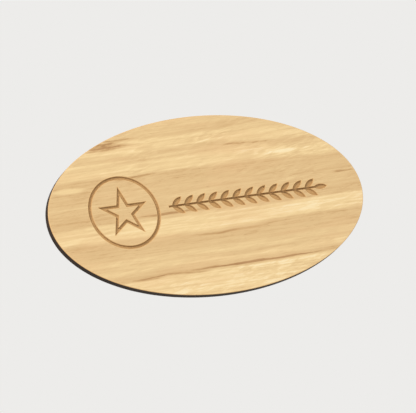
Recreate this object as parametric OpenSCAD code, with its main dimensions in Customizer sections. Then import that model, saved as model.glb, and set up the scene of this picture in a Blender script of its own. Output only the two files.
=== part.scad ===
// Oval wooden name plaque with a laser-engraved face and a magnetic fastener on its back.
// Frame: +X along the plaque, +Z up, the face looks along -Y.
// Origin: middle of the plane where the magnets meet the steel plate, which is where cloth is clamped.

/* [Board] */
// Length of the oval
plaque_w = 69.85; // [58:0.05:84]
// Height of the oval
plaque_h = 38.1; // [31:0.05:46]
// Thickness of the front ply
face_t = 0.5; // [0.5:0.05:1]
// Thickness of the middle ply
core_t = 0.5; // [0.4:0.05:3]
// Thickness of the rear ply
back_t = 0.5; // [0.4:0.05:1]

/* [Engraving] */
// Depth of the engraving
engrave_depth = 0.3; // [0.1:0.05:0.4]
// Shift of the engraved marks to the right of the middle
marks_x = 0.8; // [-1:0.1:1]
// Shift of the engraved marks above the middle
marks_z = 0.7; // [-1:0.1:1]
// Outer diameter of the emblem's ring
ring_d = 15.6; // [12:0.1:18]
// Width of the ring's line
ring_line = 0.65; // [0.4:0.05:1]
// Gap between the ring's inner edge and the star's points
star_gap = 1.5; // [1:0.1:2.5]
// Width of the star's line
star_line = 0.6; // [0.4:0.05:0.8]
// Gap between the ring and the sprig
mark_gap = 2.2; // [1:0.1:4]
// Number of leaf pairs on the sprig
leaf_pairs = 12; // [8:1:14]
// Distance from one leaf pair to the next
leaf_pitch = 2.7; // [2.4:0.1:3]
// Length of a leaf
leaf_l = 3; // [2.6:0.1:3.4]
// Width of a leaf
leaf_w = 1.05; // [0.8:0.05:1.2]
// Angle of a leaf from the stem
leaf_angle = 36; // [28:1:42]
// Width of the stem
stem_line = 0.4; // [0.3:0.05:0.6]

/* [Fastener] */
// Thickness of the foam tape
foam_t = 0.8; // [0.5:0.1:1.5]
// Distance from the steel plate's outline in to the foam tape's
foam_inset = 0.5; // [0.2:0.1:1.5]
// Thickness of the steel plate
plate_t = 0.8; // [0.5:0.1:1.5]
// Corner radius of the steel plate
plate_corner_r = 2.5; // [1:0.1:4]
// Diameter of a magnet
magnet_d = 10; // [8:0.1:12]
// Thickness of a magnet
magnet_t = 2; // [1.5:0.1:3]
// Bevel on a magnet's rims
magnet_bevel = 0.25; // [0.1:0.05:0.4]
// Distance from one magnet's middle to the next
magnet_pitch = 15; // [14:0.1:19]
// How far the magnets stand out of the magnet bar
magnet_proud = 0.2; // [0.1:0.05:0.5]
// Radial clearance between a magnet and its pocket
pocket_clear = 0.05; // [0.02:0.01:0.1]
// Plastic wall round a pocket
pocket_wall = 1.2; // [0.8:0.05:1.8]
// Plastic wall along the magnet bar's long sides
bar_side_wall = 1.45; // [1.2:0.05:2]
// Plastic wall beyond the end pockets
bar_end_wall = 2.45; // [1.8:0.05:3.5]
// Thickness of the magnet bar's rear wall
bar_rear_wall = 1.2; // [0.8:0.1:2]
// Corner radius of the magnet bar
bar_corner_r = 3; // [1.5:0.1:4]

/* [Hidden] */
$fn = 96;

// Depths along Y, from the clamping plane out to the face
plate_front = -plate_t;
foam_front = plate_front - foam_t;
rear_front = foam_front - back_t;
core_front = rear_front - core_t;
face_front = core_front - face_t;

// The magnet bar is sized round its pockets, and the steel plate matches the bar
pocket_d = magnet_d + 2 * pocket_clear;
bar_w = 2 * magnet_pitch + pocket_d + 2 * bar_end_wall;
bar_h = pocket_d + 2 * bar_side_wall;
bar_front = magnet_proud;
bar_rear = magnet_t + bar_rear_wall;
plate_w = bar_w;
plate_h = bar_h;

// The emblem and the sprig stand in one row, and the row is centred before it is shifted
sprig_w = leaf_pairs * leaf_pitch + leaf_l;
row_w = ring_d + mark_gap + sprig_w;
ring_x = marks_x - row_w / 2 + ring_d / 2;
sprig_x = marks_x + row_w / 2 - sprig_w;
star_r = ring_d / 2 - ring_line - star_gap;
// A five-pointed star's edges pass this share of its radius from its middle
star_edge = cos(72);
star_valley = cos(72) / cos(36);
// Each cutter starts this far outside the face that it cuts
cut_over = 1;

// Stands a flat outline, drawn in X and Z, up as a slab from depth `front` back by `thick`
module slab(front, thick) {
    translate([0, front + thick, 0]) rotate([90, 0, 0]) linear_extrude(thick) children();
}

module oval() {
    scale([1, plaque_h / plaque_w]) circle(d = plaque_w, $fn = 192);
}

module rounded(w, h, r) {
    square([w - 2 * r, h], center = true);
    square([w, h - 2 * r], center = true);
    for (x = [-1, 1], z = [-1, 1])
        translate([x * (w / 2 - r), z * (h / 2 - r)]) circle(r);
}

module star(r) {
    polygon([for (i = [0:9]) let (a = 90 + 36 * i, ri = i % 2 == 0 ? r : r * star_valley)
        [ri * cos(a), ri * sin(a)]]);
}

module emblem() {
    difference() {
        circle(d = ring_d);
        circle(d = ring_d - 2 * ring_line);
    }
    difference() {
        star(star_r);
        star(star_r - star_line / star_edge);
    }
}

// A pointed leaf from the origin along +X, made by two arcs
module leaf() {
    arc_r = (leaf_l * leaf_l + leaf_w * leaf_w) / (4 * leaf_w);
    intersection_for (side = [-1, 1])
        translate([leaf_l / 2, side * (arc_r - leaf_w / 2)]) circle(arc_r);
}

module sprig() {
    translate([0, -stem_line / 2]) square([sprig_w - leaf_l / 2, stem_line]);
    for (i = [0:leaf_pairs - 1], side = [-1, 1])
        translate([i * leaf_pitch + leaf_l / 4, 0]) rotate(side * leaf_angle) leaf();
    translate([sprig_w - leaf_l, 0]) leaf();
}

module engraving() {
    translate([ring_x, marks_z]) emblem();
    translate([sprig_x, marks_z]) sprig();
}

module face_ply() {
    color("burlywood") difference() {
        slab(face_front, face_t) oval();
        slab(face_front - cut_over, engrave_depth + cut_over) engraving();
    }
}

module core_ply() {
    color("saddlebrown") slab(core_front, core_t) oval();
}

module rear_ply() {
    color("burlywood") slab(rear_front, back_t) oval();
}

module foam_tape() {
    color("whitesmoke") slab(foam_front, foam_t)
        rounded(plate_w - 2 * foam_inset, plate_h - 2 * foam_inset, plate_corner_r - foam_inset);
}

module steel_plate() {
    color("silver") slab(plate_front, plate_t) rounded(plate_w, plate_h, plate_corner_r);
}

// The hollow between two pockets, which keeps the moulding's walls even
module bar_core_out() {
    difference() {
        square([magnet_pitch, bar_h - 2 * bar_side_wall], center = true);
        for (side = [-1, 1])
            translate([side * magnet_pitch / 2, 0]) circle(d = pocket_d + 2 * pocket_wall);
    }
}

module magnet_bar() {
    color("dimgray") difference() {
        slab(bar_front, bar_rear - bar_front) rounded(bar_w, bar_h, bar_corner_r);
        for (i = [-1:1])
            translate([i * magnet_pitch, 0, 0])
                slab(bar_front - cut_over, magnet_t - bar_front + cut_over) circle(d = pocket_d);
        for (side = [-1, 1])
            translate([side * magnet_pitch / 2, 0, 0])
                slab(bar_front - cut_over, magnet_t - bar_front + cut_over) bar_core_out();
    }
}

module magnet(place) {
    r = magnet_d / 2;
    t = magnet_t;
    b = magnet_bevel;
    color("gainsboro") translate([place * magnet_pitch, t, 0]) rotate([90, 0, 0])
        rotate_extrude() polygon([[0, 0], [r - b, 0], [r, b], [r, t - b], [r - b, t], [0, t]]);
}

face_ply();
core_ply();
rear_ply();
foam_tape();
steel_plate();
magnet_bar();
magnet(-1);  // magnet_left
magnet(0);  // magnet_middle
magnet(1);  // magnet_right
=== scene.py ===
"""Oval wooden name plaque: laser-engraved plywood with a magnetic fastener on its back.

The frame is the CAD's: metres, +Z up, the engraved face looks along -Y.
Shapes are worked out in millimetres and scaled once, when their mesh is made.
"""

import math

import bmesh
import bpy
import numpy as np
from mathutils import Matrix, Vector
from mathutils.geometry import delaunay_2d_cdt


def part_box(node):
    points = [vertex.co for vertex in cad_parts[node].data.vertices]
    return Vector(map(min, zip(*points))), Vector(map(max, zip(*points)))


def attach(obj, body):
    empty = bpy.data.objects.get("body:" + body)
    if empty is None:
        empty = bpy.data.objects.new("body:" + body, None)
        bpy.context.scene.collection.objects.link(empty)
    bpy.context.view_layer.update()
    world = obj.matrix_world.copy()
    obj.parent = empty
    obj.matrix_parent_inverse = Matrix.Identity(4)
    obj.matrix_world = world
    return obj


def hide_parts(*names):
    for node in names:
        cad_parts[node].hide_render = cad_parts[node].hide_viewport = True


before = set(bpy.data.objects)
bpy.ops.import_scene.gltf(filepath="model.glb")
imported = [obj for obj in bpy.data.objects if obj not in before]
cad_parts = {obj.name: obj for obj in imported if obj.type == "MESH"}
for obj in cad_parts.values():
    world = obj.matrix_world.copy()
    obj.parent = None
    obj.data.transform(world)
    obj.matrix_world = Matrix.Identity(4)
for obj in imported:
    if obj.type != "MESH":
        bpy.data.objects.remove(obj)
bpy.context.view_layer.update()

MM = 0.001

# ---- Sizes of the engraved marks, in mm, as the CAD source has them ----
MARKS_X, MARKS_Z = 0.8, 0.7
RING_D, RING_LINE = 15.6, 0.65
STAR_GAP, STAR_LINE = 1.5, 0.6
MARK_GAP = 2.2
LEAF_PAIRS, LEAF_PITCH = 12, 2.7
LEAF_L, LEAF_W, LEAF_ANGLE = 3.0, 1.05, 36.0
STEM_LINE = 0.4

SPRIG_W = LEAF_PAIRS * LEAF_PITCH + LEAF_L
ROW_W = RING_D + MARK_GAP + SPRIG_W
RING_X = MARKS_X - ROW_W / 2 + RING_D / 2
SPRIG_X = MARKS_X + ROW_W / 2 - SPRIG_W
STAR_R = RING_D / 2 - RING_LINE - STAR_GAP
STAR_EDGE = math.cos(math.radians(72))
STAR_VALLEY = STAR_EDGE / math.cos(math.radians(36))

# How the laser leaves a groove: (distance outside the outline, depth, how burnt), in mm and 0 to 1
# The halo outside the outline is real toasting; the darker values down the wall and at its foot, above the
# floor's, are partly painted shade inside the groove
GROOVE = ((0.28, 0.0, 0.0), (0.07, 0.0, 0.34), (0.035, 0.0, 0.5), (0.0, 0.035, 0.85),
          (-0.13, 0.26, 1.0), (-0.18, 0.3, 0.8))
# How it leaves the face's rim: (distance in from the edge, depth, how burnt). The first RIM_FLAT lie in the
# face, and the others round it off
RIM = ((0.8, 0.0, 0.0), (0.3, 0.0, 0.1), (0.13, 0.0, 0.22), (0.1, 0.0, 0.3),
       (0.055, 0.012, 0.42), (0.02, 0.04, 0.6), (0.0, 0.09, 1.0))
RIM_FLAT = 4
# The wall of a ply from its front to its rear: (share of the thickness, distance in, share of the ridges).
# On the face ply, the rim takes the place of the rows before WALL_BELOW_RIM
WALL = ((0.0, 0.03, 0.0), (0.06, 0.0, 0.5), (0.3, 0.0, 1.0),
        (0.6, 0.0, 1.0), (0.93, 0.0, 0.7), (1.0, 0.04, 0.2))
WALL_BELOW_RIM = 2
# How the laser toasts the rear's rim: (distance in from the edge, how burnt)
REAR_RIM = ((0.12, 0.7), (0.5, 0.25), (1.4, 0.0))

# ---- Sizes of the fastener that its node boxes don't give, in mm ----
PLATE_CORNER_R = 2.5
FOAM_INSET = 0.5
BAR_CORNER_R = 3.0
BAR_REAR_WALL = 1.2
MAGNET_PITCH = 15.0
MAGNET_D = 10.0
POCKET_CLEAR = 0.05
POCKET_D = MAGNET_D + 2 * POCKET_CLEAR
POCKET_WALL = 1.2

# The tape's side, for a tape FOAM_ROWS_T thick: (depth, distance in, 1 in the foam or 0 in an adhesive film)
FOAM_ROWS = ((0.0, 0.1, 0), (0.05, 0.1, 0), (0.07, 0.16, 0), (0.16, 0.07, 1), (0.28, 0.025, 1),
             (0.4, 0.01, 1), (0.52, 0.025, 1), (0.64, 0.07, 1), (0.73, 0.16, 0), (0.75, 0.1, 0),
             (0.8, 0.1, 0))
FOAM_ROWS_T = 0.8
# The dimple in the bar's rear where the plastic came in, from its rim to the broken stub in its middle:
# (radius, depth, how worn), in mm and 0 to 1
GATE = ((1.9, 0.0, 0.0), (1.74, 0.0, 0.5), (1.68, 0.02, 0.9), (1.6, 0.13, 0.2), (1.5, 0.17, 0.0),
        (0.7, 0.17, 0.0), (0.62, 0.15, 0.3), (0.56, 0.06, 0.8), (0.48, 0.03, 1.0), (0.3, 0.045, 0.7))

# ---- Mesh density ----
OVAL_POINTS = 1200
ROUND_POINTS = 96

# The material slots of a ply
SURFACE, CUT = 0, 1


def box_mm(node):
    low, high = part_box(node)
    return np.array(low) / MM, np.array(high) / MM


# ---------------------------------------------------------------- outlines

def oval_loop(a, b, inset=0.0, count=OVAL_POINTS):
    """Points at even steps along an ellipse, moved in along its normal."""
    t = np.linspace(0, 2 * np.pi, 8 * count + 1)
    x, z = a * np.cos(t), b * np.sin(t)
    length = np.concatenate([[0], np.cumsum(np.hypot(np.diff(x), np.diff(z)))])
    t = np.interp(np.arange(count) / count * length[-1], length, t)
    normal = np.stack([np.cos(t) / a, np.sin(t) / b], 1)
    normal /= np.linalg.norm(normal, axis=1)[:, None]
    return np.stack([a * np.cos(t), b * np.sin(t)], 1) - inset * normal


def rounded_loop(w, h, r, inset=0.0, steps=14):
    """Points round a rectangle with round corners, as many for any inset."""
    w, h, r = w / 2 - inset, h / 2 - inset, r - inset
    points = []
    for corner in range(4):
        sx, sz = ((1, 1), (-1, 1), (-1, -1), (1, -1))[corner]
        for k in range(steps + 1):
            angle = math.radians(90 * corner + 90 * k / steps)
            points.append((sx * (w - r) + r * math.cos(angle), sz * (h - r) + r * math.sin(angle)))
    return np.array(points)


def circle_loop(r, x=0.0, count=ROUND_POINTS):
    t = np.arange(count) * 2 * np.pi / count
    return np.stack([x + r * np.cos(t), r * np.sin(t)], 1)


def quarter_turn(steps):
    return np.linspace(0, math.pi / 2, steps + 1)


def roughened(points, depths):
    """The points of a loop round the origin, moved in by depths."""
    outward = points / np.linalg.norm(points, axis=1)[:, None]
    return points - outward * depths[:, None]


def star_points(r):
    angles = np.radians(90 + 36 * np.arange(10))
    radii = np.where(np.arange(10) % 2 == 0, r, r * STAR_VALLEY)
    return np.stack([radii * np.cos(angles), radii * np.sin(angles)], 1)


# ---------------------------------------------------------------- distances to the marks

# An edge that rises less than this is level, and no level ray crosses it
LEVEL = 1e-12


def polygon_distance(x, z, points):
    """Signed distance to a closed polygon, negative inside it."""
    best = np.full(x.shape, np.inf)
    inside = np.zeros(x.shape, bool)
    for (x0, z0), (x1, z1) in zip(points, np.roll(points, -1, 0)):
        ex, ez = x1 - x0, z1 - z0
        t = np.clip(((x - x0) * ex + (z - z0) * ez) / (ex * ex + ez * ez), 0, 1)
        best = np.minimum(best, (x - x0 - t * ex) ** 2 + (z - z0 - t * ez) ** 2)
        if abs(ez) > LEVEL:
            inside ^= ((z0 > z) != (z1 > z)) & (x < ex * (z - z0) / ez + x0)
    return np.where(inside, -1, 1) * np.sqrt(best)


def emblem_distance(x, z):
    """A ring with an outlined star in it, centred on the origin."""
    ring = np.abs(np.hypot(x, z) - (RING_D - RING_LINE) / 2) - RING_LINE / 2
    outer = polygon_distance(x, z, star_points(STAR_R))
    inner = polygon_distance(x, z, star_points(STAR_R - STAR_LINE / STAR_EDGE))
    return np.minimum(ring, np.maximum(outer, -inner))


def leaf_distance(x, z):
    """A pointed leaf from the origin along +X, made by two arcs."""
    r = (LEAF_L ** 2 + LEAF_W ** 2) / (4 * LEAF_W)
    c = r - LEAF_W / 2
    x = x - LEAF_L / 2
    return np.maximum(np.hypot(x, z - c), np.hypot(x, z + c)) - r


def sprig_distance(x, z):
    """A stem from the origin along +X with pairs of leaves and one at its tip."""
    stem_end = SPRIG_W - LEAF_L / 2
    d = np.maximum(np.abs(x - stem_end / 2) - stem_end / 2, np.abs(z) - STEM_LINE / 2)
    d = np.minimum(d, leaf_distance(x - (SPRIG_W - LEAF_L), z))
    for pair in range(LEAF_PAIRS):
        for side in (-1, 1):
            a = math.radians(side * LEAF_ANGLE)
            px = x - pair * LEAF_PITCH - LEAF_L / 4
            d = np.minimum(d, leaf_distance(px * math.cos(a) + z * math.sin(a),
                                            z * math.cos(a) - px * math.sin(a)))
    return d


# For each pattern of corners inside, the cell edges that the contour enters and leaves by
CELL_PATHS = {1: ("SW",), 2: ("ES",), 3: ("EW",), 4: ("NE",), 5: ("SW", "NE"), 6: ("NS",),
              7: ("NW",), 8: ("WN",), 9: ("SN",), 10: ("ES", "WN"), 11: ("EN",), 12: ("WE",),
              13: ("SE",), 14: ("WS",)}


def contours(field, x0, z0, step, level):
    """Closed loops along which field is level, by marching squares.

    field[i, j] is the value at x0 + i step, z0 + j step."""
    inside = field < level
    code = (inside[:-1, :-1] * 1 + inside[1:, :-1] * 2 + inside[1:, 1:] * 4 + inside[:-1, 1:] * 8)
    follow = {}
    for i, j in zip(*np.nonzero((code > 0) & (code < 15))):
        i, j = int(i), int(j)
        edge = {"S": (0, i, j), "N": (0, i, j + 1), "W": (1, i, j), "E": (1, i + 1, j)}
        for enter, leave in CELL_PATHS[int(code[i, j])]:
            follow[edge[enter]] = edge[leave]

    def place(edge):
        upright, i, j = edge
        f0 = field[i, j]
        f1 = field[i, j + 1] if upright else field[i + 1, j]
        t = (level - f0) / (f1 - f0)
        return x0 + (i + (0 if upright else t)) * step, z0 + (j + (t if upright else 0)) * step

    loops = []
    while follow:
        start, at = next(iter(follow.items()))
        del follow[start]
        loop = [place(start)]
        while at != start:
            loop.append(place(at))
            at = follow.pop(at)
        loops.append(np.array(loop))
    return loops


def thin_run(points, tolerance):
    """The points of an open run that are needed to keep it within tolerance."""
    keep = np.zeros(len(points), bool)
    keep[[0, -1]] = True
    spans = [(0, len(points) - 1)]
    while spans:
        a, b = spans.pop()
        if b - a < 2:
            continue
        chord = points[b] - points[a]
        off = points[a + 1:b] - points[a]
        size = max(np.hypot(*chord), 1e-9)
        away = np.abs(off[:, 0] * chord[1] - off[:, 1] * chord[0]) / size
        far = int(np.argmax(away))
        if away[far] > tolerance:
            keep[a + 1 + far] = True
            spans += [(a, a + 1 + far), (a + 1 + far, b)]
    return points[keep]


def thin_loop(points, tolerance):
    """thin_run for a closed loop, split at its first point and the point farthest from that."""
    half = int(np.argmax(np.hypot(*(points - points[0]).T)))
    first = thin_run(points[:half + 1], tolerance)
    second = thin_run(np.vstack([points[half:], points[:1]]), tolerance)
    return np.vstack([first[:-1], second[:-1]])


def mark_loops(step=0.04, margin=0.5, tolerance=0.0015, off_grid=1e-7, shortest=12):
    """[(loop, depth, how burnt)] for every groove of the emblem and the sprig. On the walls and at their foot
    how burnt is partly painted shade.

    Each level is moved by off_grid so that no contour runs through a grid point, and specks are left out."""
    found = []
    half = RING_D / 2 + margin
    reach = LEAF_L * math.sin(math.radians(LEAF_ANGLE)) + LEAF_W + margin
    areas = ((emblem_distance, RING_X, (-half, half), (-half, half)),
             (sprig_distance, SPRIG_X, (-margin, SPRIG_W + margin), (-reach, reach)))
    for distance, shift, (xa, xb), (za, zb) in areas:
        x, z = np.arange(xa, xb, step), np.arange(za, zb, step)
        field = distance(*np.meshgrid(x, z, indexing="ij"))
        for level, depth, burnt in GROOVE:
            for loop in contours(field, xa, za, step, level + off_grid):
                if len(loop) > shortest:
                    found.append((thin_loop(loop, tolerance) + (shift, MARKS_Z), depth, burnt))
    return found


# ---------------------------------------------------------------- meshes

class Shell:
    """Collects a closed surface in mm.

    Each vertex has an `edge` value from 0 to 1, which its material reads: how burnt the wood is, with painted
    shade on the grooves' walls, how worn the plastic or metal is, or which layer of the tape it is in."""

    def __init__(self):
        self.verts, self.edge, self.faces, self.slots = [], [], [], []

    def loop(self, points, y, edge=0.0):
        """Adds points (x, z) at depth y and returns their numbers."""
        first = len(self.verts)
        y = np.broadcast_to(y, len(points))
        self.verts += [(float(p[0]), float(d), float(p[1])) for p, d in zip(points, y)]
        self.edge += [float(e) for e in np.broadcast_to(edge, len(points))]
        return list(range(first, len(self.verts)))

    def cap(self, loop, slot=SURFACE):
        self.faces.append(tuple(loop))
        self.slots.append(slot)

    def stack(self, loops, slot=SURFACE):
        """Joins each loop to the next, point to point."""
        for a, b in zip(loops, loops[1:]):
            for i in range(len(a)):
                j = (i + 1) % len(a)
                self.faces.append((a[i], a[j], b[j], b[i]))
                self.slots.append(slot)

    def outline(self, loop):
        return np.array([(self.verts[v][0], self.verts[v][2]) for v in loop])

    def fill(self, loops, holes=(), merge=1e-7):
        """Triangulates the convex outline loops[0] with edges along the other loops. The holes stay open."""
        ids = [v for loop in loops for v in loop]
        borders, first = [], 0
        for loop in loops:
            n = len(loop)
            borders += [(first + k, first + (k + 1) % n) for k in range(n)]
            first += n
        flat = [Vector(point) for point in self.outline(ids)]
        points, _, faces, origin, _, _ = delaunay_2d_cdt(flat, borders, [], 0, merge)
        middle = np.array([np.mean([points[v] for v in face], 0) for face in faces])
        is_open = np.zeros(len(faces), bool)
        for hole in holes:
            is_open |= polygon_distance(middle[:, 0], middle[:, 1], self.outline(hole)) < 0
        for k in np.nonzero(~is_open)[0]:
            self.faces.append(tuple(ids[origin[v][0]] for v in faces[k]))
            self.slots.append(SURFACE)

    def make(self, name, materials, sharp=32):
        """Makes the object. Edges that turn by more than sharp degrees stay crisp."""
        mesh = bpy.data.meshes.new(name)
        mesh.from_pydata([(x * MM, y * MM, z * MM) for x, y, z in self.verts], [], self.faces)
        mesh.attributes.new("edge", "FLOAT", "POINT").data.foreach_set("value", self.edge)
        mesh.polygons.foreach_set("material_index", self.slots)
        for material in materials:
            mesh.materials.append(material)
        solid = bmesh.new()
        solid.from_mesh(mesh)
        bmesh.ops.recalc_face_normals(solid, faces=solid.faces)
        solid.to_mesh(mesh)
        solid.free()
        mesh.polygons.foreach_set("use_smooth", [True] * len(mesh.polygons))
        mesh.set_sharp_from_angle(angle=math.radians(sharp))
        piece = bpy.data.objects.new(name, mesh)
        bpy.context.scene.collection.objects.link(piece)
        return piece


def finish_piece(piece, body, node):
    """The piece moves with the body and stands for the CAD node, which is hidden."""
    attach(piece, body)
    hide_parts(node)


def cut_ridges(seed, spacing=12, fine_depth=0.008, coarse_depth=0.012):
    """How far each column of a laser-cut wall stands in from the outline, in mm: fine upright ridges."""
    rng = np.random.default_rng(seed)
    fine = rng.random(OVAL_POINTS)
    knots = rng.random(OVAL_POINTS // spacing)
    closed = np.append(knots, knots[0])
    coarse = np.interp(np.arange(OVAL_POINTS) / spacing, np.arange(len(closed)), closed)
    return fine_depth * fine + coarse_depth * coarse


def oval_axes(low, high):
    return (high[0] - low[0]) / 2, (high[2] - low[2]) / 2


def ply_wall(shell, low, high, seed, rim=None):
    """The charred wall of one ply. It starts at rim, if given, and turns in a little at the glue lines."""
    ridges = cut_ridges(seed)
    loops = [rim] if rim else []
    for share, inset, ridge in WALL[WALL_BELOW_RIM:] if rim else WALL:
        points = roughened(oval_loop(*oval_axes(low, high), inset), ridges * ridge)
        loops.append(shell.loop(points, low[1] + share * (high[1] - low[1]), 1.0))
    shell.stack(loops, CUT)
    return loops


def build_face_ply(materials):
    low, high = box_mm("face_ply")
    axes = oval_axes(low, high)
    shell = Shell()
    rim = [shell.loop(oval_loop(*axes, inset), low[1] + depth, burnt) for inset, depth, burnt in RIM]
    marks = [shell.loop(points, low[1] + depth, burnt) for points, depth, burnt in mark_loops()]
    shell.fill(rim[:RIM_FLAT][::-1] + marks)
    shell.stack(rim[RIM_FLAT - 1:])
    walls = ply_wall(shell, low, high, seed=1, rim=rim[-1])
    shell.cap(walls[-1], CUT)
    return shell.make("face_ply_engraved", materials)


def build_core_ply(materials):
    low, high = box_mm("core_ply")
    shell = Shell()
    walls = ply_wall(shell, low, high, seed=11)
    shell.cap(walls[0], CUT)
    shell.cap(walls[-1], CUT)
    return shell.make("core_ply_edge", materials)


def build_rear_ply(materials):
    low, high = box_mm("rear_ply")
    axes = oval_axes(low, high)
    shell = Shell()
    walls = ply_wall(shell, low, high, seed=12)
    shell.cap(walls[0], CUT)
    rings = [walls[-1]] + [shell.loop(oval_loop(*axes, inset), high[1], burnt) for inset, burnt in REAR_RIM]
    shell.stack(rings)
    shell.cap(rings[-1])
    return shell.make("rear_ply_back", materials)


def build_foam(materials):
    """A soft core between two films of adhesive. Its cut edge bulges a little under the plate's pressure."""
    low, high = box_mm("foam_tape")
    w, h = high[0] - low[0], high[2] - low[2]
    cell_depth = 0.03
    rng = np.random.default_rng(5)
    shell = Shell()
    loops = []
    for depth, inset, soft in FOAM_ROWS:
        points = rounded_loop(w, h, PLATE_CORNER_R - FOAM_INSET, inset)
        points = roughened(points, rng.random(len(points)) * cell_depth * soft)
        loops.append(shell.loop(points, low[1] + depth * (high[1] - low[1]) / FOAM_ROWS_T, soft))
    shell.stack(loops)
    shell.cap(loops[0])
    shell.cap(loops[-1])
    return shell.make("foam_tape_pad", materials, sharp=60)


def build_plate(materials):
    """A punched steel plate: rolled over at its front, sheared below its middle, deburred at its rear."""
    low, high = box_mm("steel_plate")
    w, h, t = high[0] - low[0], high[2] - low[2], high[1] - low[1]
    roll, shear, bevel, border = 0.16, 0.012, 0.08, 0.3
    rows = [(border, 0.0, 0.0)]
    rows += [(roll * (1 - math.sin(k)), roll * (1 - math.cos(k)), 0.7) for k in quarter_turn(5)]
    rows += [(0.0, t * 0.55, 0.4), (shear, t * 0.6, 0.9), (shear, t - bevel - 0.01, 0.9)]
    rows += [(shear + bevel * (1 - math.cos(k)), t - bevel + bevel * math.sin(k), 1.0)
             for k in quarter_turn(4)[1:]]
    rows += [(border, t, 0.0)]
    shell = Shell()
    loops = [shell.loop(rounded_loop(w, h, PLATE_CORNER_R, inset), low[1] + depth, worn)
             for inset, depth, worn in rows]
    shell.stack(loops)
    shell.cap(loops[0])
    shell.cap(loops[-1])
    return shell.make("steel_plate_blank", materials, sharp=40)


def hollow_loop(grow, x, steps=24):
    """The outline of the hollow between two pockets, moved out by grow, with its middle at x."""
    half = POCKET_D / 2 + grow
    r = POCKET_D / 2 + POCKET_WALL - grow
    reach = math.asin(min(1.0, half / r))
    turn = np.linspace(reach, -reach, steps)
    right = np.stack([MAGNET_PITCH / 2 - r * np.cos(turn), r * np.sin(turn)], 1)
    return np.vstack([right, -right]) + (x, 0)


def build_bar(materials):
    """The moulded bar: filleted outside, with small lead-ins at the mouths of its pockets and hollows."""
    low, high = box_mm("magnet_bar")
    w, h, t = high[0] - low[0], high[2] - low[2], high[1] - low[1]
    front, rear = low[1], high[1]
    floor = rear - BAR_REAR_WALL
    lip, fillet = 0.15, 0.55
    shell = Shell()

    rows = [(0.32, 0.0, 0.0)]
    rows += [(lip * (1 - math.sin(k)), lip * (1 - math.cos(k)), 1.0) for k in quarter_turn(3)]
    rows += [(0.0, t - fillet - 0.1, 0.3)]
    rows += [(fillet * (1 - math.cos(k)), t - fillet + fillet * math.sin(k), 0.9 * math.sin(2 * k))
             for k in quarter_turn(8)]
    rows += [(fillet + 0.25, t, 0.0)]
    outside = [shell.loop(rounded_loop(w, h, BAR_CORNER_R, inset), front + depth, worn)
               for inset, depth, worn in rows]
    shell.stack(outside)

    gate = [shell.loop(circle_loop(r, count=64), rear - depth, worn) for r, depth, worn in GATE]
    shell.stack(gate)
    shell.cap(gate[-1])
    shell.fill([outside[-1], gate[0]], holes=[gate[0]])

    # (distance out from the pocket's or the hollow's wall, place along Y, how worn), from mouth to floor
    pocket_rows = ((0.1, front, 0.0), (0.07, front, 0.8), (0.02, front + 0.03, 1.0),
                   (0.0, front + 0.08, 0.6), (0.0, floor - 0.12, 0.0), (-0.12, floor, 0.0))
    hollow_rows = ((0.08, front, 0.0), (0.05, front, 0.8), (0.0, front + 0.05, 1.0),
                   (-0.02, floor - 0.1, 0.0), (-0.12, floor, 0.0))
    wells = [[shell.loop(circle_loop(POCKET_D / 2 + grow, place * MAGNET_PITCH), y, worn)
              for grow, y, worn in pocket_rows] for place in (-1, 0, 1)]
    wells += [[shell.loop(hollow_loop(grow, place * MAGNET_PITCH), y, worn)
               for grow, y, worn in hollow_rows] for place in (-0.5, 0.5)]
    for well in wells:
        shell.stack(well)
        shell.cap(well[-1])
    mouths = [well[0] for well in wells]
    shell.fill([outside[0]] + mouths, holes=mouths)
    return shell.make("magnet_bar_moulding", materials, sharp=34)


def build_magnet(name, node, materials):
    """A plated disc whose bevels meet its faces in small radii, as tumbled magnets' do."""
    low, high = box_mm(node)
    x = (low[0] + high[0]) / 2
    r, t = (high[0] - low[0]) / 2, high[1] - low[1]
    bevel = 0.22
    rows = [(0.6, 0.0, 0.0), (0.3, 0.0, 0.3)]
    rows += [(bevel * (1 - math.sin(k)), bevel * (1 - math.cos(k)), 1.0) for k in quarter_turn(6)]
    rows += [(inset, t - depth, worn) for inset, depth, worn in rows[::-1]]
    shell = Shell()
    loops = [shell.loop(circle_loop(r - inset, x), low[1] + depth, worn) for inset, depth, worn in rows]
    shell.stack(loops)
    shell.cap(loops[0])
    shell.cap(loops[-1])
    return shell.make(name, materials, sharp=40)


# ---------------------------------------------------------------- materials

def srgb(*levels):
    """A colour as seen, from three levels of 0 to 255, as the shader's linear value."""
    shares = [level / 255 for level in levels]
    linear = [share / 12.92 if share <= 0.04045 else ((share + 0.055) / 1.055) ** 2.4 for share in shares]
    return (*linear, 1.0)


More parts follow.
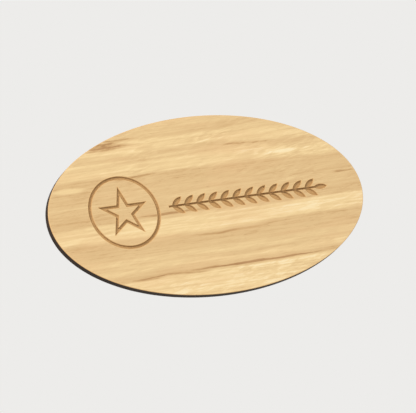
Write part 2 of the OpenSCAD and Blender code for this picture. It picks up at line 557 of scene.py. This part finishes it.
class Shader:
    """A material made of nodes. Every argument is a plain value or another node's socket."""

    def __init__(self, name, **fixed):
        self.material = bpy.data.materials.new(name)
        self.material.use_nodes = True
        self.tree = self.material.node_tree
        self.tree.nodes.clear()
        self.surface = self.tree.nodes.new("ShaderNodeBsdfPrincipled")
        out = self.tree.nodes.new("ShaderNodeOutputMaterial")
        self.tree.links.new(self.surface.outputs[0], out.inputs[0])
        for socket, value in fixed.items():
            self.surface.inputs[socket.replace("_", " ")].default_value = value
        # The place on the object in mm, and the surface's `edge` value
        coords = self.tree.nodes.new("ShaderNodeTexCoord")
        place = self.tree.nodes.new("ShaderNodeVectorMath")
        place.operation = "SCALE"
        place.inputs["Scale"].default_value = 1 / MM
        self.put(place.inputs[0], coords.outputs["Object"])
        self.mm = place.outputs[0]
        attribute = self.tree.nodes.new("ShaderNodeAttribute")
        attribute.attribute_name = "edge"
        self.edge = attribute.outputs["Fac"]

    def put(self, socket, value):
        """Links another node's socket, or sets a plain value."""
        if isinstance(value, bpy.types.NodeSocket):
            self.tree.links.new(value, socket)
        else:
            socket.default_value = value

    def math(self, operation, a, b=0.0):
        node = self.tree.nodes.new("ShaderNodeMath")
        node.operation = operation
        self.put(node.inputs[0], a)
        self.put(node.inputs[1], b)
        return node.outputs[0]

    def total(self, *terms):
        out = terms[0]
        for term in terms[1:]:
            out = self.math("ADD", out, term)
        return out

    def swing(self, value, amount, centre=0.5):
        """A 0 to 1 value as a change either way of up to half of amount."""
        return self.math("MULTIPLY", self.math("SUBTRACT", value, centre), amount)

    def axes(self):
        """The place's X, Y and Z in mm."""
        node = self.tree.nodes.new("ShaderNodeSeparateXYZ")
        self.put(node.inputs[0], self.mm)
        return node.outputs

    def stretch(self, scale, shift=(0, 0, 0), tilt=0.0):
        """The place in mm, turned by tilt degrees in the face's plane, scaled along each axis and shifted."""
        node = self.tree.nodes.new("ShaderNodeMapping")
        node.vector_type = "POINT"
        turned = self.tree.nodes.new("ShaderNodeVectorRotate")
        turned.rotation_type = "Y_AXIS"
        turned.inputs["Angle"].default_value = math.radians(tilt)
        self.put(turned.inputs["Vector"], self.mm)
        self.put(node.inputs["Vector"], turned.outputs[0])
        node.inputs["Scale"].default_value = scale
        node.inputs["Location"].default_value = shift
        return node.outputs[0]

    def noise(self, place, detail=2.0, rough=0.5, warp=0.0):
        node = self.tree.nodes.new("ShaderNodeTexNoise")
        self.put(node.inputs["Vector"], place)
        node.inputs["Scale"].default_value = 1.0
        node.inputs["Detail"].default_value = detail
        node.inputs["Roughness"].default_value = rough
        node.inputs["Distortion"].default_value = warp
        return node.outputs["Fac"]

    def cells(self, place):
        """The distance to the middle of the nearest of scattered cells, each about one unit across."""
        node = self.tree.nodes.new("ShaderNodeTexVoronoi")
        self.put(node.inputs["Vector"], place)
        node.inputs["Scale"].default_value = 1.0
        node.inputs["Randomness"].default_value = 1.0
        return node.outputs["Distance"]

    def remap(self, value, a, b, c=0.0, d=1.0, smooth=False):
        """Takes a to b over to c to d, and holds the ends."""
        node = self.tree.nodes.new("ShaderNodeMapRange")
        node.interpolation_type = "SMOOTHSTEP" if smooth else "LINEAR"
        for socket, v in zip(node.inputs, (value, a, b, c, d)):
            self.put(socket, v)
        return node.outputs[0]

    def ramp(self, value, stops):
        """The colour, or the grey level, at value along stops of (place, colour)."""
        node = self.tree.nodes.new("ShaderNodeValToRGB")
        items = node.color_ramp.elements
        for k, (at, colour) in enumerate(stops):
            item = items[k] if k < 2 else items.new(at)
            item.position = at
            item.color = colour if isinstance(colour, tuple) else (colour, colour, colour, 1)
        self.put(node.inputs[0], value)
        return node.outputs[0]

    def mix(self, share, a, b, how="MIX"):
        """Colour a where share is 0 and b where it is 1: the node's sockets 0, 6 and 7."""
        node = self.tree.nodes.new("ShaderNodeMix")
        node.data_type, node.blend_type = "RGBA", how
        for socket, v in ((0, share), (6, a), (7, b)):
            self.put(node.inputs[socket], v)
        return node.outputs[2]

    def bump(self, height, depth_mm, strength):
        node = self.tree.nodes.new("ShaderNodeBump")
        node.inputs["Distance"].default_value = depth_mm * MM
        node.inputs["Strength"].default_value = strength
        self.put(node.inputs["Height"], height)
        return node.outputs[0]

    def finish(self, colour, roughness, normal=None):
        """Wires up the surface and returns the material."""
        self.put(self.surface.inputs["Base Color"], colour)
        self.put(self.surface.inputs["Roughness"], roughness)
        if normal:
            self.put(self.surface.inputs["Normal"], normal)
        return self.material


# How far the growth bands reach above and below the face's middle, in mm
BAND_REACH = 20.0
# The face's growth bands: (height across the grain in mm, tone from 0 dark to 1 light)
FACE_BANDS = ((-18.0, 0.72), (-14.6, 0.7), (-14.0, 0.76), (-13.5, 0.22), (-12.9, 0.34), (-11.8, 0.66),
              (-10.6, 0.42), (-9.6, 0.58), (-8.4, 0.38), (-5.2, 0.32), (-4.5, 0.74), (-1.9, 0.76),
              (-1.1, 0.34), (0.2, 0.3), (3.2, 0.5), (4.2, 0.36), (7.9, 0.3), (8.6, 0.62), (10.6, 0.68),
              (11.8, 0.42), (13.2, 0.64), (14.9, 0.6), (15.8, 0.42), (18.0, 0.48))
# Marks that run only part of the way: (x, height, half length, half height in mm, change of tone)
# The broad one at x -28 makes the whole left end a little darker
FACE_MARKS = ((-20.5, 14.7, 9.0, 1.05, -0.62), (-8.5, -0.75, 9.0, 0.32, -0.28), (16.5, 9.8, 8.0, 0.9, 0.12),
              (-29.0, 6.6, 4.0, 0.7, 0.36), (-13.0, -13.8, 12.0, 0.34, -0.36),
              (8.0, -13.3, 18.0, 0.25, -0.32), (-15.0, 7.9, 7.0, 0.35, -0.22), (12.0, 12.2, 8.0, 0.3, -0.3),
              (6.0, -5.6, 12.0, 0.3, -0.14), (-28.0, 0.0, 12.0, 9.0, -0.08), (-15.0, 15.9, 6.0, 0.22, -0.3),
              (20.0, -3.0, 9.0, 1.2, 0.14), (32.0, 3.6, 3.5, 0.35, -0.3))
# The wood's colours from its darkest tone to its lightest
WOOD_TONES = ((0.0, srgb(180, 136, 88)), (0.14, srgb(206, 166, 112)), (0.28, srgb(223, 187, 134)),
              (0.5, srgb(233, 200, 146)), (0.7, srgb(243, 212, 156)), (0.85, srgb(251, 222, 168)),
              (1.0, srgb(255, 234, 188)))
# The colours of wood that the laser has touched, from toasted to charred. On the grooves' walls the darker
# ones are partly painted shade
BURN_AND_GROOVE_SHADE_TONES = ((0.0, srgb(226, 188, 132)), (0.4, srgb(206, 166, 112)), (0.75, srgb(182, 142, 90)),
               (0.95, srgb(150, 112, 66)), (1.0, srgb(124, 92, 54)))
# The colours of the cut wall, from soot to where some brown shows through
CHAR_TONES = ((0.0, srgb(27, 20, 15)), (0.4, srgb(52, 38, 27)), (0.7, srgb(86, 62, 40)),
              (1.0, srgb(134, 96, 60)))
# Distance in mm between the laser's scan lines on an engraved floor
SCAN_PITCH = 0.13


def wood_tone(s, seed, bands, marks):
    """(tone, fibre, pore, sheen_ripple) of a plain-sliced veneer whose grain runs along X. The ripple is
    painted sheen in the tone.
    """
    x, _, z = s.axes()
    fan = s.math("MULTIPLY", s.math("MULTIPLY", x, z), 0.0022)
    drift = s.swing(s.noise(s.stretch((0.03, 0.3, 0.11), (seed, 0, 0)), 2), 2.6)
    wander = s.swing(s.noise(s.stretch((0.13, 0.3, 0.5), (0, seed, 0)), 3), 0.8)
    height = s.total(z, fan, drift, wander)
    if bands:
        share = s.remap(height, -BAND_REACH, BAND_REACH)
        tone = s.ramp(share, [((at + BAND_REACH) / (2 * BAND_REACH), value) for at, value in bands])
    else:
        tone = s.remap(s.noise(s.stretch((0.02, 0.3, 0.33), (0, 0, seed)), 4, 0.6), 0.3, 0.7)
    lively = s.remap(tone, 0.28, 0.6, 0.5, 1.0)

    shreds = s.noise(s.stretch((0.1, 0.3, 1.6), (seed, 0, 4)), 3, 0.6)
    for mx, mz, length, width, change in marks:
        along = s.math("POWER", s.math("MULTIPLY", s.math("SUBTRACT", x, mx), 1 / length), 2.0)
        across = s.math("POWER", s.math("MULTIPLY", s.math("SUBTRACT", height, mz), 1 / width), 2.0)
        frayed = s.math("MULTIPLY", s.math("ADD", along, across), s.remap(shreds, 0.3, 0.7, 0.5, 1.9))
        near = s.remap(frayed, 0.1, 1.3, change, 0.0, smooth=True)
        tone = s.math("ADD", tone, near)

    streak = s.noise(s.stretch((0.04, 0.2, 2.3), (0, 0, seed * 2), 0.6), 6, 0.62, 0.3)
    streak = s.remap(streak, 0.33, 0.67, smooth=True)
    fibre = s.noise(s.stretch((0.2, 0.5, 9.0), (seed, 0, 0), -0.5), 4, 0.62)
    # The ripple figure: wavy light and dark dashes slanted across the grain, in patches. Its light and dark
    # in the tone is painted sheen standing in for the wood's chatoyance
    sheen_ripple = s.noise(s.stretch((0.3, 0.3, 1.7), (0, seed, 0), 10.0), 4, 0.6, 0.6)
    sheen_ripple = s.remap(sheen_ripple, 0.36, 0.64, smooth=True)
    patches = s.noise(s.stretch((0.05, 0.2, 0.13), (seed, 0, 9)), 2)
    patches = s.remap(patches, 0.42, 0.68, 0.3, 1.0, smooth=True)
    sheen_ripple = s.math("MULTIPLY", s.swing(sheen_ripple, 0.36), patches)
    growth = s.noise(s.stretch((0.035, 0.2, 0.85), (0, 4, seed), 0.8), 2, 0.5, 0.4)
    growth = s.math("ABSOLUTE", s.math("SUBTRACT", growth, 0.5))
    growth = s.math("MULTIPLY", s.remap(growth, 0.0, 0.035, 1.0, 0.0, smooth=True), -0.11)
    pore = s.cells(s.stretch((0.42, 0.5, 6.5), (0, 0, seed)))
    pore = s.remap(pore, 0.05, 0.22, 1.0, 0.0, smooth=True)

    # The figure adds the growth lines, the streaks and the ripple's painted sheen to the tone
    figure = s.math("MULTIPLY", s.total(growth, s.swing(streak, 0.25), sheen_ripple), lively)
    tone = s.total(tone, figure, s.swing(fibre, 0.42), s.math("MULTIPLY", pore, -0.2), 0.02)
    return tone, fibre, pore, sheen_ripple


def wood(name, seed, brightness, bands=(), marks=()):
    """Sanded, unlacquered veneer. Where `edge` rises it is toasted and then charred by the laser, and on the
    grooves' walls part of that darkening is painted shade.
    """
    s = Shader(name, Specular_IOR_Level=0.32, IOR=1.45)
    tone, fibre, pore, sheen_ripple = wood_tone(s, seed, bands, marks)
    colour = s.ramp(tone, WOOD_TONES)
    hue = s.noise(s.stretch((0.05, 0.1, 0.3), (3, seed, 0)), 2)
    colour = s.mix(s.remap(hue, 0.5, 0.75, 0.0, 0.35), colour, srgb(236, 192, 140))
    colour = s.mix(1.0, colour, (brightness, brightness, brightness, 1), "MULTIPLY")

    soot = s.noise(s.stretch((2.2, 2.2, 3.5), (seed, 0, 0)), 4, 0.65)
    _, _, z = s.axes()
    scan = s.remap(s.math("SINE", s.math("MULTIPLY", z, 2 * math.pi / SCAN_PITCH)), -1.0, 1.0)
    # burnt: the laser's toasting and charring, with painted shade on the grooves' walls and at their foot
    burnt = s.math("ADD", s.edge, s.math("MULTIPLY", s.swing(soot, 0.5), s.edge))
    burn_and_shade_colour = s.ramp(burnt, BURN_AND_GROOVE_SHADE_TONES)
    burn_and_shade_colour = s.mix(s.math("MULTIPLY", scan, 0.2), burn_and_shade_colour, srgb(212, 170, 120))
    colour = s.mix(s.remap(burnt, 0.02, 0.62, smooth=True), colour, burn_and_shade_colour)

    rough = s.total(s.remap(fibre, 0.3, 0.7, 0.5, 0.62), s.swing(sheen_ripple, 0.12, 0.0),
                    s.math("MULTIPLY", burnt, 0.2))
    relief = s.total(s.swing(fibre, 0.6), s.math("MULTIPLY", pore, -0.7), s.swing(sheen_ripple, 0.3, 0.0),
                     s.math("MULTIPLY", s.math("MULTIPLY", scan, s.edge), 0.35),
                     s.math("MULTIPLY", s.swing(soot, 1.0), s.edge))
    return s.finish(colour, rough, s.bump(relief, 0.018, 0.8))


def charred_edge():
    """The laser-cut wall: near-black, with upright ridges, browner towards the face."""
    s = Shader("charred_edge", Specular_IOR_Level=0.25)
    _, y, _ = s.axes()
    ridges = s.noise(s.stretch((5.0, 0.7, 5.0)), 4, 0.65)
    patches = s.noise(s.stretch((0.5, 0.8, 0.5), (4, 0, 0)), 3, 0.6)
    low, _ = box_mm("face_ply")
    toasted = s.remap(s.math("SUBTRACT", y, float(low[1])), 0.05, 0.5, 1.0, 0.0, smooth=True)
    brown = s.total(s.swing(ridges, 0.9), s.swing(patches, 0.5), s.math("MULTIPLY", toasted, 0.42), 0.25)
    colour = s.ramp(brown, CHAR_TONES)
    rough = s.remap(ridges, 0.3, 0.7, 0.62, 0.82)
    return s.finish(colour, rough, s.bump(s.math("ADD", ridges, patches), 0.05, 0.9))


def foam():
    """Closed-cell foam, edge 1, between two clear adhesive films, edge 0."""
    s = Shader("foam", Specular_IOR_Level=0.3)
    cell = s.cells(s.stretch((7.0, 7.0, 7.0)))
    grey = s.noise(s.stretch((0.6, 0.6, 0.6)), 3)
    body = s.mix(s.remap(cell, 0.1, 0.6), srgb(196, 196, 190), srgb(240, 240, 236))
    body = s.mix(s.remap(grey, 0.4, 0.8, 0.0, 0.3), body, srgb(214, 208, 192))
    colour = s.mix(s.edge, srgb(206, 196, 168), body)
    rough = s.math("ADD", s.math("MULTIPLY", s.edge, 0.5), s.remap(grey, 0.3, 0.7, 0.32, 0.42))
    return s.finish(colour, rough, s.bump(cell, 0.06, 0.7))


def metal(name, colour, worn_colour, rough, brush, seed):
    """Plated metal. brush is how fine its finish is along each axis: the same all ways, or lines one way."""
    s = Shader(name, Metallic=1.0)
    lines = s.noise(s.stretch(brush, (seed, 0, 0)), 3, 0.6)
    scratch = s.cells(s.stretch((0.35, 0.35, 5.0), (0, seed, 0), 27.0))
    scratch = s.remap(scratch, 0.0, 0.045, 1.0, 0.0)
    smudge = s.noise(s.stretch((0.22, 0.22, 0.22), (0, 0, seed)), 4, 0.6)
    tint = s.mix(s.remap(smudge, 0.35, 0.75, 0.0, 0.5), colour, worn_colour)
    tint = s.mix(s.math("MULTIPLY", s.edge, 0.35), tint, srgb(244, 242, 238))
    shine = s.total(s.swing(lines, 0.16), s.swing(smudge, 0.22), s.math("MULTIPLY", scratch, 0.1),
                    s.math("MULTIPLY", s.edge, 0.06), rough)
    relief = s.math("SUBTRACT", lines, s.math("MULTIPLY", scratch, 0.8))
    return s.finish(tint, shine, s.bump(relief, 0.004, 0.7))


def black_plastic():
    """Moulded ABS with a spark-eroded finish, rubbed smoother and paler along its edges."""
    s = Shader("black_plastic", Specular_IOR_Level=0.36, IOR=1.52)
    grain = s.noise(s.stretch((7.0, 7.0, 7.0)), 3, 0.6)
    flow = s.noise(s.stretch((0.12, 0.3, 0.3)), 3, 0.5)
    rub = s.noise(s.stretch((0.9, 0.9, 0.9), (5, 0, 0)), 4, 0.7)
    worn = s.math("MULTIPLY", s.edge, s.remap(rub, 0.35, 0.65, 0.2, 1.0))
    colour = s.mix(s.remap(grain, 0.3, 0.7), srgb(24, 24, 26), srgb(38, 38, 41))
    colour = s.mix(s.remap(flow, 0.42, 0.62, 0.0, 0.5, smooth=True), colour, srgb(52, 52, 56))
    colour = s.mix(s.math("MULTIPLY", worn, 0.5), colour, srgb(84, 84, 88))
    dust = s.remap(s.noise(s.stretch((2.0, 2.0, 2.0), (8, 0, 0)), 5, 0.75), 0.6, 0.7, 0.0, 0.4)
    colour = s.mix(dust, colour, srgb(120, 118, 112))
    rough = s.total(s.remap(flow, 0.3, 0.7, 0.46, 0.6), s.swing(grain, 0.12), s.math("MULTIPLY", worn, -0.1))
    return s.finish(colour, rough, s.bump(grain, 0.003, 0.6))


def floor_paper():
    """Pale paper that glows as brightly as the backdrop, so that the floor and the backdrop run together."""
    s = Shader("floor_paper", Specular_IOR_Level=0.05, Emission_Color=BACKDROP, Emission_Strength=0.93)
    mottle = s.noise(s.stretch((0.004, 0.004, 0.004)), 3, 0.5)
    colour = s.mix(mottle, srgb(58, 58, 57), srgb(66, 66, 65))
    return s.finish(colour, s.remap(mottle, 0.3, 0.7, 0.85, 0.95))


# ---------------------------------------------------------------- camera, light and floor

# The camera's axes. BACK points from the plaque to the camera
RIGHT = Vector((0.8943, -0.3627, -0.2620)).normalized()
BACK = Vector((-0.4307, -0.8563, -0.2851)).normalized()
UP = BACK.cross(RIGHT).normalized()
RIGHT = UP.cross(BACK).normalized()
FRAME_WIDTH = 83.5 * MM
CAMERA_DISTANCE = 150 * MM
# Where the middle of the face stands in the frame, from the frame's middle
FACE_RIGHT, FACE_UP = -0.48 * MM, 0.30 * MM
BACKDROP = srgb(237, 236, 234)
AMBIENT = (0.46, 0.46, 0.47, 1)
FLOOR_Z = -0.1
FLOOR_R_MM = 6000


def set_camera():
    """Looks at the face from its lower left, turned as if the plaque lay on a table, with no perspective."""
    low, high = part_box("face_ply")
    face = Vector(((low[0] + high[0]) / 2, low[1], (low[2] + high[2]) / 2))
    at = face - RIGHT * FACE_RIGHT - UP * FACE_UP + BACK * CAMERA_DISTANCE
    data = bpy.data.cameras.new("camera")
    data.type, data.ortho_scale, data.sensor_fit = "ORTHO", FRAME_WIDTH, "HORIZONTAL"
    data.clip_start, data.clip_end = 0.01, 50
    data.dof.use_dof = False
    camera = bpy.data.objects.new("camera", data)
    camera.matrix_world = Matrix.Translation(at) @ Matrix((RIGHT, UP, BACK)).transposed().to_4x4()
    bpy.context.scene.collection.objects.link(camera)
    bpy.context.scene.camera = camera


def add_light(name, direction, distance, size, watts, colour=(1, 1, 1)):
    """A round soft light that stands in a direction from the origin and shines at it."""
    data = bpy.data.lights.new(name, "AREA")
    data.shape, data.size, data.energy, data.color = "DISK", size, watts, colour
    light = bpy.data.objects.new(name, data)
    way = Vector(direction).normalized()
    light.location = way * distance
    light.rotation_euler = way.to_track_quat("Z", "Y").to_euler()
    bpy.context.scene.collection.objects.link(light)


def set_world():
    """A pale backdrop that lights the object less than it shows."""
    world = bpy.data.worlds.new("studio")
    world.use_nodes = True
    nodes, links = world.node_tree.nodes, world.node_tree.links
    nodes.clear()
    seen, lit = nodes.new("ShaderNodeBackground"), nodes.new("ShaderNodeBackground")
    seen.inputs[0].default_value = BACKDROP
    lit.inputs[0].default_value = AMBIENT
    path, mix = nodes.new("ShaderNodeLightPath"), nodes.new("ShaderNodeMixShader")
    links.new(path.outputs["Is Camera Ray"], mix.inputs[0])
    links.new(lit.outputs[0], mix.inputs[1])
    links.new(seen.outputs[0], mix.inputs[2])
    links.new(mix.outputs[0], nodes.new("ShaderNodeOutputWorld").inputs[0])
    bpy.context.scene.world = world


def add_floor():
    shell = Shell()
    shell.cap(shell.loop(circle_loop(FLOOR_R_MM), 0.0))
    floor = shell.make("floor", [floor_paper()])
    floor.rotation_euler.x = math.radians(90)
    floor.location.z = FLOOR_Z


bpy.context.scene.view_settings.view_transform = "Standard"
set_camera()
set_world()
add_light("key", (-0.78, -0.55, 0.62), distance=1.2, size=0.5, watts=16.6, colour=(1.0, 0.98, 0.95))
add_light("fill", (0.8, -0.9, 0.25), distance=0.7, size=0.6, watts=0.9, colour=(0.96, 0.98, 1.0))
add_light("back", (0.35, 0.9, 0.55), distance=0.6, size=0.4, watts=1.6)
add_floor()

# ---------------------------------------------------------------- the pieces

edge_black = charred_edge()
face_wood = wood("face_wood", seed=2.3, brightness=0.76, bands=FACE_BANDS, marks=FACE_MARKS)
rear_wood = wood("rear_wood", seed=7.1, brightness=0.74)
nickel = metal("nickel", srgb(200, 196, 189), srgb(172, 166, 156),
               rough=0.2, brush=(1.4, 1.4, 1.4), seed=3.0)
plated_steel = metal("plated_steel", srgb(172, 174, 177), srgb(146, 147, 146),
                     rough=0.32, brush=(0.2, 1.0, 7.0), seed=6.0)

finish_piece(build_face_ply([face_wood, edge_black]), "plaque", "face_ply")
finish_piece(build_core_ply([edge_black, edge_black]), "plaque", "core_ply")
finish_piece(build_rear_ply([rear_wood, edge_black]), "plaque", "rear_ply")
finish_piece(build_foam([foam()]), "plaque", "foam_tape")
finish_piece(build_plate([plated_steel]), "plaque", "steel_plate")
finish_piece(build_bar([black_plastic()]), "fastener", "magnet_bar")
for side in ("left", "middle", "right"):
    disc = build_magnet(f"magnet_{side}_disc", f"magnet_{side}", [nickel])
    finish_piece(disc, "fastener", f"magnet_{side}")
